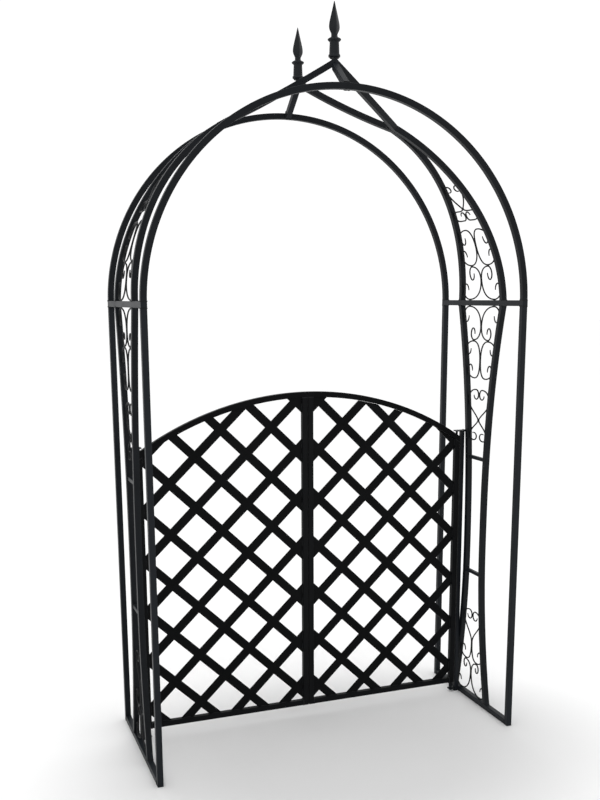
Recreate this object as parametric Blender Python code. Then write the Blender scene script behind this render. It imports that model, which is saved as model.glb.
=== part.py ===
"""Metal garden arch with a double lattice gate, as separate welded and hinged pieces.

Metres, +Z up, the ground at Z = 0 and the middle of the footprint at the origin.
+X is to the right of someone facing the gate from the front, and the front is -Y.

Two round hoops stand on four legs. Each side has a foot rail, a spring rail and two
bowed bars between them. Above the spring rails the bars run up the arch as ribs, meet
side by side, and part again to carry the finials. Scrolls of thin rod fill the bars.
Two lattice gate leaves turn on pivot pins held by tabs on a post at each side.
"""
import math

import bmesh
import bpy
from mathutils import Vector

# ---------------------------------------------------------------- overall sizes
SPAN = 1.250            # left leg to right leg, between tube centres
DEPTH = 0.535           # front hoop to back hoop, between tube centres
SPRING_Z = 1.472        # ground to the centre of the spring rails
TUBE = 0.019            # square tube of the arch, across the flats
TUBE_WALL = 0.0015
GAP = 0.0003            # left between pieces that are welded or touch

# ---------------------------------------------------------------- side panels
CROWN_HALF = 0.141      # half the spacing of the bowed bars at the spring rail
WAIST_HALF = 0.055      # half the spacing at the waist
FOOT_HALF = 0.116       # half the spacing at the foot rail
WAIST_Z = 0.590         # height of the waist
FLARE = 2.55            # above the waist the bars part as this power of the height
SPREAD = 2.0            # below the waist, likewise
UPPER_TIE_DROP = 0.552  # spring rail to the upper tie, which clears the heart above it
LOWER_TIE_Z = 0.492
TIE = 0.012             # square bar of the two ties

# ---------------------------------------------------------------- ribs and apex
MEET_ANGLE = 64.0       # degrees up the arch where the ribs meet, and leave it again
MEET_CLEAR = 0.001      # between the two ribs where they meet
EASE = 0.6              # how much of the ribs' closing is a gentle S, the rest straight
APEX_LIFT = 0.088       # top of the hoops' centre line to that of the ribs' meeting point
FINIAL_Y = 0.160        # finial centres, in front of and behind the middle
PARTING = 0.27          # how far the parting ribs bulge outwards from a straight line
STRUT_DROP = 0.008      # strut meets the ribs this far below their centres
STRUT_RISE = 0.003      # and the hoop this far above its centre line

# ---------------------------------------------------------------- scrolls
ROD = 0.005             # square rod of the scrolls
WELD = 0.0004           # how far touching rods run into each other
RIM_CLEAR = 0.0004      # rod to the bar beside it
TOP_PAIR = 0.122        # height of the pair that touches the spring rail
NEXT_PAIR = 0.136
HEART_DROP = 0.303      # spring rail's centre to the heart's top
HEART = 0.189
BASE_SCROLL = 0.200     # long pair above the base pair
BASE_PAIR = 0.127
ARCH_PAIR = 0.118       # the same pieces above the spring rail, along the arch
ARCH_NEXT = 0.130
ARCH_HEART_RISE = 0.286
ARCH_HEART = 0.135
JOIN = 0.47             # where stacked scrolls touch, as a share of the gap there
TOP_TOUCH = 0.60        # where a pair touches in the middle, as a share of its height
NEXT_TOUCH = 0.52
BASE_TOUCH = 0.66
TIP = 0.75              # a curl's radius at its tip, as a share of its first radius
HOOK = 0.68             # a hook's radius across, as a share of its radius up the panel

# Curls of the C scrolls: the radius up the panel, then where the curl touches its level
# and how far out it goes, all as shares of the gap there, and its turn in degrees.
BIG_CURL = (0.22, 0.64, 1.0, 262)
SMALL_CURL = (0.21, JOIN, 0.64, 275)
UPPER_CURL = (0.24, JOIN, 1.0, 265)
LOWER_CURL = (0.31, JOIN, 1.0, 270)

# Hearts: the inward curl as a share of the gap, the widest place below the top in
# metres, the crossing as a share of the height, and the tail curl's radius up and
# across as shares of the gap.
SIDE_HEART = (0.265, 0.038, 0.59, 0.28, 0.42)
ARCHED_HEART = (0.21, 0.022, 0.33, 0.27, 0.40)
HEART_SLANT = 50.0      # degrees from level at which the heart's rods cross
ARCHED_SLANT = 40.0
QUARTER_TURN = 90       # degrees
TAIL_TURN = 290
LOBE_TURN = 265

# The long pair: the inward curl, the widest place and the touching place in the same
# way, and the outward curl's radius up the panel.
LONG_PAIR = (0.31, 0.034, 0.62, 0.31)

# ---------------------------------------------------------------- finials
FINIAL_PROFILE = [      # height above the foot, radius
    (0.0000, 0.0121), (0.0015, 0.0121), (0.0025, 0.0178), (0.0090, 0.0178),
    (0.0110, 0.0147), (0.0450, 0.0147), (0.0470, 0.0178), (0.0515, 0.0204),
    (0.0560, 0.0178), (0.0580, 0.0115), (0.0640, 0.0094), (0.0710, 0.0121),
    (0.0800, 0.0161), (0.0887, 0.0172), (0.0990, 0.0161), (0.1170, 0.0115),
    (0.1370, 0.0060), (0.1530, 0.0023), (0.1605, 0.0000),
]

# ---------------------------------------------------------------- gate
GATE_Y = 0.086          # plane of the leaves, behind the middle
GATE_TUBE = 0.019       # square tube of the leaves' frames
GATE_WALL = 0.0015
HINGE_POST = 0.015      # square tube of the posts that the leaves hang beside
GATE_SIDE_CLEAR = 0.0045    # leaf's edge to its post, which the leaf's corners turn past
GATE_SEAM = 0.002       # between the two meeting stiles
GATE_BOTTOM = 0.0375    # underside of the bottom rail above the ground
GATE_CROWN = 1.175      # top of the top rail at the seam
GATE_SHOULDER = 0.992   # top of the top rail at the hinge edge
LATTICE_BAR = 0.030     # width of the flat bars
LATTICE_THICK = 0.004
LATTICE_HALF_X = 0.0894     # half a diamond, across
LATTICE_HALF_Z = 0.0866     # half a diamond, up
LATTICE_FIRST_X = 0.041     # first crossings, from the seam
LATTICE_FIRST_Z = 0.068     # lowest crossings, above the leaf's underside
LATTICE_RIM = 0.0008        # weld seam all round the lattice, which holds the bars' ends

# ---------------------------------------------------------------- pivots
PIN = 0.008             # pivot pin, across
PIN_CLEAR = 0.0003      # all round the pin in its bush
PIN_DEPTH = 0.024       # how far a pin reaches into its bush
BUSH_LENGTH = 0.026
SHOULDER = 0.013        # collar under the leaf, across
TAB_THICK = 0.004
TAB_LENGTH = 0.022      # along the side
TAB_REACH = 0.008       # past the pin, towards the gate
FOOT_TAB_Z = 0.008      # underside of the foot tab
HEAD_TAB_CLEAR = 0.0115 # underside of the head tab above the leaf at its pin
HOLE_PAST = 0.010       # how far a hole is cut past its piece

# ---------------------------------------------------------------- roundness
HOOP_STEPS = 32
RIB_STEPS = 14
OGEE_STEPS = 8
BOW_STEPS = 14
RAIL_STEPS = 12
CURL_STEPS = 9
HOOK_STEPS = 3
RUN_STEPS = 5
ROUND_SIDES = 16
SMOOTH_ANGLE = 40.0     # degrees; flatter edges than this are shaded round
SLOPE_STEP = 0.005      # over which the slope of a curved bar is taken

RADIUS = SPAN / 2
HALF_TUBE = TUBE / 2
APEX_Z = SPRING_Z + RADIUS + APEX_LIFT
SIDES = (("left", -1), ("right", 1))
FACES = (("front", -1), ("back", 1))

for old in list(bpy.data.objects):
    bpy.data.objects.remove(old, do_unlink=True)


# ================================================================ helpers
def paint(name, colour, roughness):
    """A satin painted finish of its own for one piece."""
    material = bpy.data.materials.new(name + "_paint")
    material.use_nodes = True
    shader = material.node_tree.nodes["Principled BSDF"]
    shader.inputs["Base Color"].default_value = (*colour, 1.0)
    shader.inputs["Roughness"].default_value = roughness
    shader.inputs["Metallic"].default_value = 0.0
    return material


BLACK = (0.012, 0.014, 0.016)
SATIN = 0.45
ZINC = (0.35, 0.35, 0.34)
DULL = 0.35


def place(name, bm, colour=BLACK, roughness=SATIN, smooth=None):
    """Turn a bmesh into a named object with its faces pointing out."""
    bmesh.ops.recalc_face_normals(bm, faces=bm.faces[:])
    mesh = bpy.data.meshes.new(name)
    bm.to_mesh(mesh)
    bm.free()
    mesh.materials.append(paint(name, colour, roughness))
    piece = bpy.data.objects.new(name, mesh)
    bpy.context.scene.collection.objects.link(piece)
    if smooth:
        mesh.shade_smooth()
        mesh.set_sharp_from_angle(angle=math.radians(smooth))
    return piece


def cutter(piece):
    """Make a piece a guide that shapes others and isn't itself a part."""
    piece.hide_render = True
    piece.display_type = "WIRE"
    return piece


def combine(piece, other, operation):
    """Shape one piece by another with a Boolean modifier."""
    step = piece.modifiers.new(operation.lower(), "BOOLEAN")
    step.operation = operation
    step.object = other
    step.solver = "EXACT"
    cutter(other)


def sweep(bm, stations, half_a, half_b, wall=0.0, start=None, end=None):
    """Square tube or bar through stations of (point, tangent, a, b).

    a and b are the directions of its two pairs of faces. With a wall it is a tube
    with open ends. start and end are the normals of planes that trim its ends.
    """
    rings = []
    last = len(stations) - 1
    for number, (point, tangent, a, b) in enumerate(stations):
        trim = start if number == 0 else end if number == last else None
        ring = []
        for inset in ((0.0, wall) if wall else (0.0,)):
            for sa, sb in ((1, 1), (-1, 1), (-1, -1), (1, -1)):
                offset = a * (sa * (half_a - inset)) + b * (sb * (half_b - inset))
                if trim:
                    offset = offset - tangent * (offset.dot(trim) / tangent.dot(trim))
                ring.append(bm.verts.new(point + offset))
        rings.append(ring)
    for first, second in zip(rings, rings[1:]):
        for base in range(0, len(first), 4):
            for corner in range(4):
                one = base + corner
                two = base + (corner + 1) % 4
                bm.faces.new((first[one], first[two], second[two], second[one]))
    for ring in (rings[0], rings[-1]):
        if wall:
            for corner in range(4):
                other = (corner + 1) % 4
                bm.faces.new((ring[corner], ring[other], ring[4 + other], ring[4 + corner]))
        else:
            bm.faces.new(ring[:4])


def straight(first, second, a):
    """Two stations of a straight bar; a is the direction of one pair of its faces."""
    first, second, a = Vector(first), Vector(second), Vector(a).normalized()
    tangent = (second - first).normalized()
    b = tangent.cross(a).normalized()
    return [(first, tangent, a, b), (second, tangent, a, b)]


def along(points, normals):
    """Stations along a curve; normals gives the panel's own normal at each point."""
    stations = []
    last = len(points) - 1
    for number, point in enumerate(points):
        back = points[max(number - 1, 0)]
        ahead = points[min(number + 1, last)]
        tangent = (ahead - back).normalized()
        b = normals[number]
        b = (b - tangent * b.dot(tangent)).normalized()
        stations.append((point, tangent, tangent.cross(b).normalized(), b))
    return stations


def box(bm, low, high):
    """A plain rectangular block between two corners."""
    corners = [bm.verts.new((x, y, z)) for x in (low[0], high[0])
               for y in (low[1], high[1]) for z in (low[2], high[2])]
    for face in ((0, 1, 3, 2), (4, 6, 7, 5), (0, 4, 5, 1), (2, 3, 7, 6), (0, 2, 6, 4),
                 (1, 5, 7, 3)):
        bm.faces.new([corners[index] for index in face])


def turned(bm, centre, profile, sides=ROUND_SIDES):
    """A turned solid from (height, radius) pairs; a radius of 0 closes to a point."""
    rings = []
    for height, radius in profile:
        z = centre[2] + height
        if radius == 0.0:
            rings.append([bm.verts.new((centre[0], centre[1], z))])
            continue
        rings.append([bm.verts.new((centre[0] + radius * math.cos(math.tau * k / sides),
                                    centre[1] + radius * math.sin(math.tau * k / sides), z))
                      for k in range(sides)])
    for lower, upper in zip(rings, rings[1:]):
        for k in range(sides):
            after = (k + 1) % sides
            if len(upper) == 1:
                bm.faces.new((lower[k], lower[after], upper[0]))
            else:
                bm.faces.new((lower[k], lower[after], upper[after], upper[k]))
    bm.faces.new(rings[0])
    if len(rings[-1]) > 1:
        bm.faces.new(rings[-1])


def tube(name, stations, size=TUBE, wall=TUBE_WALL, start=None, end=None):
    """A square tube as a piece of its own."""
    bm = bmesh.new()
    sweep(bm, stations, size / 2, size / 2, wall, start, end)
    return place(name, bm)


UP = Vector((0, 0, 1))
ACROSS = Vector((1, 0, 0))
AWAY = Vector((0, 1, 0))


# ================================================================ curves of the sides
def bow_half(z):
    """Half the spacing of the bowed bars at a height."""
    top = SPRING_Z - HALF_TUBE
    if z >= WAIST_Z:
        share = (z - WAIST_Z) / (top - WAIST_Z)
        return WAIST_HALF + (CROWN_HALF - WAIST_HALF) * share ** FLARE
    share = (WAIST_Z - z) / (WAIST_Z - TUBE)
    return WAIST_HALF + (FOOT_HALF - WAIST_HALF) * share ** SPREAD


def rib_half(angle):
    """Half the spacing of the ribs at an angle up the arch, in radians."""
    meet = HALF_TUBE + MEET_CLEAR / 2
    share = min(angle / math.radians(MEET_ANGLE), 1.0)
    wave = (1 + math.cos(math.pi * share)) / 2
    return meet + (CROWN_HALF - meet) * (EASE * wave + (1 - EASE) * (1 - share))


def slope_width(spacing, where):
    """Half a tube measured straight across, where its curve runs at a slope."""
    slope = (spacing(where + SLOPE_STEP) - spacing(where - SLOPE_STEP)) / (2 * SLOPE_STEP)
    return HALF_TUBE * math.sqrt(1 + slope ** 2)


def panel_gap(v):
    """Half the clear gap between the bars, v above (or below) the spring rail's centre."""
    if v < 0:
        z = SPRING_Z + v
        return bow_half(z) - slope_width(bow_half, z)
    angle = v / RADIUS
    return rib_half(angle) - slope_width(lambda run: rib_half(run / RADIUS), v)


def panel_point(side, y, v):
    """A point of a side panel, and the panel's normal there."""
    if v < 0:
        return Vector((side * RADIUS, y, SPRING_Z + v)), Vector((side, 0, 0))
    angle = v / RADIUS
    normal = Vector((side * math.cos(angle), 0, math.sin(angle)))
    return Vector((0, y, SPRING_Z)) + normal * RADIUS, normal


# ================================================================ legs, rails and hoops
rail_top = SPRING_Z + HALF_TUBE
rail_under = SPRING_Z - HALF_TUBE
half_depth = DEPTH / 2

for side_name, side in SIDES:
    x = side * RADIUS
    for face_name, face in FACES:
        y = face * half_depth
        tube(f"{side_name}_{face_name}_leg",
             straight((x, y, 0), (x, y, rail_under - GAP), ACROSS))
    reach = half_depth - HALF_TUBE - GAP
    tube(f"{side_name}_foot_rail", straight((x, -reach, HALF_TUBE), (x, reach, HALF_TUBE),
                                            ACROSS))
    reach = half_depth + HALF_TUBE
    tube(f"{side_name}_spring_rail", straight((x, -reach, SPRING_Z), (x, reach, SPRING_Z),
                                              ACROSS))
    for tie_name, tie_z in (("upper", SPRING_Z - UPPER_TIE_DROP),
                            ("lower", LOWER_TIE_Z)):
        reach = panel_gap(tie_z - SPRING_Z) - GAP
        bm = bmesh.new()
        stations = straight((x, -reach, tie_z), (x, reach, tie_z), ACROSS)
        lean = (bow_half(tie_z + TIE) - bow_half(tie_z - TIE)) / (2 * TIE)
        sweep(bm, stations, TIE / 2, TIE / 2, 0.0,
              Vector((0, -1, -lean)).normalized(), Vector((0, 1, -lean)).normalized())
        place(f"{side_name}_{tie_name}_tie", bm)

low_angle = math.asin((HALF_TUBE + GAP) / RADIUS)
for face_name, face in FACES:
    points = []
    normals = []
    for step in range(HOOP_STEPS + 1):
        angle = low_angle + (math.pi - 2 * low_angle) * step / HOOP_STEPS
        normal = Vector((math.cos(angle), 0, math.sin(angle)))
        points.append(Vector((0, face * half_depth, SPRING_Z)) + normal * RADIUS)
        normals.append(normal)
    tube(f"{face_name}_hoop", along(points, normals), start=UP, end=UP)

# ================================================================ bowed bars
bow_low = TUBE + GAP
bow_high = rail_under - GAP
for side_name, side in SIDES:
    for face_name, face in FACES:
        points = []
        for step in range(BOW_STEPS + 1):
            z = bow_low + (bow_high - bow_low) * step / BOW_STEPS
            points.append(Vector((side * RADIUS, face * bow_half(z), z)))
        tube(f"{side_name}_{face_name}_bow", along(points, [ACROSS] * len(points)),
             start=UP, end=UP)


# ================================================================ ribs
def rib_stations(side, face):
    """A rib from the spring rail up the arch, then out to its finial."""
    points = []
    normals = []
    leave = math.radians(MEET_ANGLE)
    for step in range(RIB_STEPS + 1):
        angle = low_angle + (leave - low_angle) * step / RIB_STEPS
        normal = Vector((side * math.cos(angle), 0, math.sin(angle)))
        middle = Vector((0, face * rib_half(angle), SPRING_Z))
        points.append(middle + normal * RADIUS)
        normals.append(normal)
    run = RADIUS * math.cos(leave)
    rise = APEX_Z - SPRING_Z - RADIUS * math.sin(leave)
    slope = 1 / math.tan(leave)
    lift = (rise - slope * run) / run ** 2
    inner = rib_half(leave)
    for step in range(1, OGEE_STEPS + 1):
        share = step / OGEE_STEPS
        across = run * share
        z = SPRING_Z + RADIUS * math.sin(leave) + slope * across + lift * across ** 2
        y = inner + (FINIAL_Y - inner) * (share + PARTING * share * (1 - share))
        steep = slope + 2 * lift * across
        x = run - across
        if step == OGEE_STEPS:
            x = GAP / 2
        points.append(Vector((side * x, face * y, z)))
        normals.append(Vector((side * steep, 0, 1)).normalized())
    return along(points, normals)


for side_name, side in SIDES:
    for face_name, face in FACES:
        tube(f"{side_name}_{face_name}_rib", rib_stations(side, face), start=UP, end=ACROSS)


def ridge_height(face):
    """Top of the ribs where they meet under a finial."""
    point, tangent, a, b = rib_stations(1, face)[-1]
    corners = []
    for way in (-1, 1):
        offset = a * (way * HALF_TUBE) + b * HALF_TUBE
        corners.append(point.z + (offset - tangent * (offset.x / tangent.x)).z)
    return max(corners)


def rib_end(side, face):
    """A solid copy of a rib's last stretch, larger all round by the gap."""
    stations = rib_stations(side, face)[-3:]
    point, tangent, a, b = stations[-1]
    stations[-1] = (Vector((-side * GAP, point.y, point.z)), tangent, a, b)
    bm = bmesh.new()
    sweep(bm, stations, HALF_TUBE + GAP, HALF_TUBE + GAP, 0.0, None, ACROSS)
    return place(f"guide_rib_{side}_{face}", bm)


# ================================================================ struts and finials
for face_name, face in FACES:
    bm = bmesh.new()
    turned(bm, (0, face * FINIAL_Y, ridge_height(face) + GAP), FINIAL_PROFILE)
    place(f"{face_name}_finial", bm, smooth=SMOOTH_ANGLE)

    foot_y = half_depth - HALF_TUBE - GAP
    foot = Vector((0, face * foot_y, SPRING_Z + RADIUS + STRUT_RISE))
    head = Vector((0, face * FINIAL_Y, APEX_Z - STRUT_DROP))
    inside = HALF_TUBE / 2
    head += (foot - head) * (inside / (foot_y - FINIAL_Y))
    strut = tube(f"{face_name}_strut", straight(foot, head, ACROSS), start=AWAY, end=AWAY)
    for side_name, side in SIDES:
        combine(strut, rib_end(side, face), "DIFFERENCE")


# ================================================================ scrolls
# A scroll is drawn in its panel as points (u, w): u outwards from the panel's middle,
# w up from the level where the scroll starts. way is 1 for a scroll that hangs down
# from that level, and -1 for the same scroll turned over, standing on it.
MIDDLE = ROD / 2 - WELD     # centre of a rod that touches its mirror image
RIM = ROD / 2               # a rod's centre from the level that it touches
DOWN = (0, -1)
OUTWARD = (1, 0)
GENTLE = 0.9                # how strongly a run keeps its directions at its ends
EVEN = 1.1
FULL = 1.3


def curl(centre, radii, begin, turn):
    """Points of a curl that tightens towards its tip; angles in degrees."""
    points = []
    for step in range(CURL_STEPS + 1):
        share = step / CURL_STEPS
        angle = math.radians(begin + turn * share)
        left = 1 - (1 - TIP) * share
        points.append((centre[0] + radii[0] * left * math.cos(angle),
                       centre[1] + radii[1] * left * math.sin(angle)))
    return points


def hook(centre, radii, begin, turn):
    """Points of a hook: a quarter turn out to the side, then a narrower, tighter curl."""
    quarter = math.copysign(QUARTER_TURN, turn)
    across = HOOK * radii[1]
    inner = (centre[0] + radii[0] - across, centre[1])
    points = []
    for step in range(HOOK_STEPS):
        angle = math.radians(begin + quarter * step / HOOK_STEPS)
        points.append((centre[0] + radii[0] * math.cos(angle),
                       centre[1] + radii[1] * math.sin(angle)))
    return points + curl(inner, (across, radii[1]), begin + quarter, turn - quarter)


def run(first, first_way, second, second_way, pull):
    """Points of a smooth run between two places, each with its direction of travel."""
    length = math.dist(first, second) * pull
    points = []
    for step in range(1, RUN_STEPS):
        t = step / RUN_STEPS
        from_first = 2 * t ** 3 - 3 * t ** 2 + 1
        out_of_first = length * (t ** 3 - 2 * t ** 2 + t)
        into_second = length * (t ** 3 - t ** 2)
        points.append(tuple(from_first * first[k] + (1 - from_first) * second[k]
                            + out_of_first * first_way[k] + into_second * second_way[k]
                            for k in (0, 1)))
    return points


def gap_from(start, way):
    """The panel's half gap as a function of the height from a scroll's own level."""
    return lambda w: panel_gap(start + way * w)


def c_scroll(start, way, height, touch, first_curl, last_curl):
    """C scroll open outwards, touching its mirror image at a share of its height."""
    gap = gap_from(start, way)
    touching = (MIDDLE, -height * touch)
    ends = []
    for level, up, (tall, place_u, reach, turn) in ((0.0, 1, first_curl),
                                                    (-height, -1, last_curl)):
        radius_w = tall * gap(level)
        centre = (place_u * gap(level), level - up * (RIM + radius_w))
        radius_u = (gap(centre[1]) - RIM - RIM_CLEAR) * reach - centre[0]
        points = run(touching, (0, up), (centre[0], level - up * RIM), OUTWARD, FULL)
        points += hook(centre, (radius_u, radius_w), QUARTER_TURN * up, -turn * up)
        ends.append(points)
    points = ends[0][::-1] + [touching] + ends[1]
    return [(u, start + way * w) for u, w in points]


def lobe(gap, share, depth):
    """An inward curl and the outer lobe beside it, which touches the bar at depth."""
    size = share * gap(-depth)
    centre = (size + MIDDLE, -RIM - size)
    side_point = (gap(-depth) - RIM - RIM_CLEAR, -depth)
    points = curl(centre, (size, size), QUARTER_TURN, LOBE_TURN)[::-1]
    points += run((centre[0], -RIM), OUTWARD, side_point, DOWN, FULL)
    points.append(side_point)
    return points


def heart(start, way, height, shape, slant):
    """Half a heart: an inward curl, a lobe, a tail across the middle, a small curl."""
    gap = gap_from(start, way)
    share, depth, cross, tail_tall, tail_wide = shape
    points = lobe(gap, share, depth)
    crossing = (0.0, -height * cross)
    across = (-math.cos(math.radians(slant)), -math.sin(math.radians(slant)))
    points += run(points[-1], DOWN, crossing, across, EVEN)
    points.append(crossing)
    radii = (tail_wide * gap(-height), tail_tall * gap(-height))
    centre_w = RIM + radii[1] - height
    side_u = -(gap(centre_w) - RIM - RIM_CLEAR)
    points += run(crossing, across, (side_u, centre_w), DOWN, EVEN)
    points += curl((side_u + radii[0], centre_w), radii, 2 * QUARTER_TURN, TAIL_TURN)
    return [(u, start + way * w) for u, w in points]


def long_scroll(start, way, height, shape):
    """Half of the long pair: an inward curl and lobe, the touch, an outward curl."""
    gap = gap_from(start, way)
    share, depth, touch, tail_tall = shape
    points = lobe(gap, share, depth)
    touching = (MIDDLE, -height * touch)
    points += run(points[-1], DOWN, touching, DOWN, GENTLE)
    points.append(touching)
    radius_w = tail_tall * gap(-height)
    centre = (JOIN * gap(-height), RIM + radius_w - height)
    radius_u = gap(centre[1]) - RIM - RIM_CLEAR - centre[0]
    points += run(touching, DOWN, (centre[0], RIM - height), OUTWARD, FULL)
    points += hook(centre, (radius_u, radius_w), -QUARTER_TURN, LOBE_TURN)
    return [(u, start + way * w) for u, w in points]


def rod_piece(side, hand, points):
    """A scroll rod bent to lie in a side panel, along its bars where it meets them.

    hand is -1 for the mirror image.
    """
    places = []
    for u, v in points:
        limit = panel_gap(v) - RIM - RIM_CLEAR
        places.append(panel_point(side, hand * max(-limit, min(limit, u)), v))
    bm = bmesh.new()
    stations = along([point for point, normal in places], [normal for point, normal in places])
    sweep(bm, stations, ROD / 2, ROD / 2)
    return bm


def scroll_group(name, side, shapes):
    """Scrolls welded to each other where they touch, as one piece."""
    whole = None
    for number, points in enumerate(shapes):
        for hand in (-1, 1):
            bm = rod_piece(side, hand, points)
            if whole is None:
                whole = place(name, bm)
            else:
                combine(whole, place(f"guide_{name}_{number}_{hand}", bm), "UNION")
    return whole


under = -(HALF_TUBE + GAP)
above = HALF_TUBE + GAP
floor_level = TUBE + GAP - SPRING_Z
base_join = floor_level + BASE_PAIR - WELD

for side_name, side in SIDES:
    scroll_group(f"{side_name}_crown_scrolls", side, [
        c_scroll(under, 1, TOP_PAIR, TOP_TOUCH, BIG_CURL, SMALL_CURL),
        c_scroll(under - TOP_PAIR + WELD, 1, NEXT_PAIR, NEXT_TOUCH, UPPER_CURL, LOWER_CURL)])
    scroll_group(f"{side_name}_heart_scroll", side, [
        heart(-HEART_DROP, 1, HEART, SIDE_HEART, HEART_SLANT)])
    scroll_group(f"{side_name}_base_scrolls", side, [
        c_scroll(floor_level, -1, BASE_PAIR, BASE_TOUCH, BIG_CURL, SMALL_CURL),
        long_scroll(base_join + BASE_SCROLL, 1, BASE_SCROLL, LONG_PAIR)])
    scroll_group(f"{side_name}_arch_scrolls", side, [
        c_scroll(above, -1, ARCH_PAIR, TOP_TOUCH, BIG_CURL, SMALL_CURL),
        c_scroll(above + ARCH_PAIR - WELD, -1, ARCH_NEXT, NEXT_TOUCH, UPPER_CURL, LOWER_CURL)])
    scroll_group(f"{side_name}_arch_heart", side, [
        heart(ARCH_HEART_RISE, -1, ARCH_HEART, ARCHED_HEART, ARCHED_SLANT)])

# ================================================================ gate leaves
post_x = RADIUS - HALF_TUBE - GAP - HINGE_POST / 2
post_face = post_x - HINGE_POST / 2
half_gate = post_face - GATE_SIDE_CLEAR
half_frame = GATE_TUBE / 2
drop = GATE_CROWN - GATE_SHOULDER
crown_radius = (half_gate ** 2 + drop ** 2) / (2 * drop)
crown_centre = GATE_CROWN - crown_radius
axis_x = half_gate - half_frame
seam_x = GATE_SEAM / 2
rail_low = GATE_BOTTOM + GATE_TUBE
clear_width = half_gate - seam_x - 2 * GATE_TUBE
# Where the top rail bends, measured at its underside, from one stile's edge to the other's.
inner_edges = [seam_x + GATE_TUBE + clear_width * step / RAIL_STEPS
               for step in range(RAIL_STEPS + 1)]


def arc_z(x, radius):
    """Height of an arc about the crown's centre."""
    return crown_centre + math.sqrt(radius ** 2 - x ** 2)


def stile(name, side, outer_x, inner_x):
    """An upright of a leaf, its top cut along the underside of the top rail."""
    middle = (outer_x + inner_x) / 2
    under_radius = crown_radius - GATE_TUBE
    one = arc_z(outer_x, under_radius)
    two = arc_z(inner_x, under_radius)
    slant = Vector((side * (one - two), 0, inner_x - outer_x)).normalized()
    top = (one + two) / 2 - GAP / abs(slant.z)
    return tube(name, straight((side * middle, GATE_Y, GATE_BOTTOM), (side * middle, GATE_Y, top),
                               ACROSS), GATE_TUBE, GATE_WALL, end=slant)


def filling(name, side, inset, thick):
    """A plate that fills a leaf's frame, set in from it all round."""
    near = inner_edges[0] + inset
    far = inner_edges[-1] - inset
    outline = [(near, rail_low + inset), (far, rail_low + inset)]
    for x in reversed([near] + inner_edges[1:-1] + [far]):
        outline.append((x, arc_z(x, crown_radius - GATE_TUBE) - 2 * inset))
    bm = bmesh.new()
    face = bm.faces.new([bm.verts.new((side * x, GATE_Y - thick / 2, z)) for x, z in outline])
    grown = bmesh.ops.extrude_face_region(bm, geom=[face])
    back = [item for item in grown["geom"] if isinstance(item, bmesh.types.BMVert)]
    bmesh.ops.translate(bm, verts=back, vec=(0, thick, 0))
    return place(name, bm)


def lattice(name, side):
    """Crossing flat bars: a plate that fits the leaf's frame, with diamonds cut out."""
    plate = filling(name, side, GAP, LATTICE_THICK)

    spacing = 2 * LATTICE_HALF_X * LATTICE_HALF_Z / math.hypot(LATTICE_HALF_X, LATTICE_HALF_Z)
    left = 1 - LATTICE_BAR / spacing
    wide = LATTICE_HALF_X * left
    tall = LATTICE_HALF_Z * left
    bm = bmesh.new()
    columns = math.ceil(half_gate / LATTICE_HALF_X) + 1
    rows = math.ceil((GATE_CROWN - GATE_BOTTOM) / LATTICE_HALF_Z) + 1
    for column in range(-1, columns):
        for row in range(-1, rows):
            if (column + row) % 2 == 0:
                continue
            x = seam_x + LATTICE_FIRST_X + column * LATTICE_HALF_X
            z = GATE_BOTTOM + LATTICE_FIRST_Z + row * LATTICE_HALF_Z
            rings = []
            for y in (GATE_Y - 2 * LATTICE_THICK, GATE_Y + 2 * LATTICE_THICK):
                rings.append([bm.verts.new((side * px, y, pz)) for px, pz in
                              ((x - wide, z), (x, z - tall), (x + wide, z), (x, z + tall))])
            bm.faces.new(rings[0])
            bm.faces.new(rings[1])
            for corner in range(4):
                after = (corner + 1) % 4
                bm.faces.new((rings[0][corner], rings[0][after], rings[1][after],
                              rings[1][corner]))
    diamonds = place(f"guide_{name}", bm)
    combine(diamonds, filling(f"guide_{name}_area", side, GAP + LATTICE_RIM,
                              2 * LATTICE_THICK), "INTERSECT")
    combine(plate, diamonds, "DIFFERENCE")
    return plate


def bush(name, x, low_z):
    """A square plug inside the end of a stile, bored for the pivot pin."""
    half = half_frame - GATE_WALL - GAP
    bm = bmesh.new()
    box(bm, (x - half, GATE_Y - half, low_z), (x + half, GATE_Y + half, low_z + BUSH_LENGTH))
    plug = place(name, bm, ZINC, DULL)
    bm = bmesh.new()
    turned(bm, (x, GATE_Y, low_z), [(-HOLE_PAST, PIN / 2 + PIN_CLEAR),
                                    (BUSH_LENGTH + HOLE_PAST, PIN / 2 + PIN_CLEAR)])
    combine(plug, place(f"guide_{name}", bm), "DIFFERENCE")
    return plug


def hinge_group(side_name, side, pieces):
    """Hang a leaf's pieces from an empty on its pivot axis."""
    pivot = bpy.data.objects.new(f"{side_name}_gate_pivot", None)
    pivot.location = (side * axis_x, GATE_Y, GATE_BOTTOM)
    bpy.context.scene.collection.objects.link(pivot)
    bpy.context.view_layer.update()
    for piece in pieces:
        piece.parent = pivot
        piece.matrix_parent_inverse = pivot.matrix_world.inverted()


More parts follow.
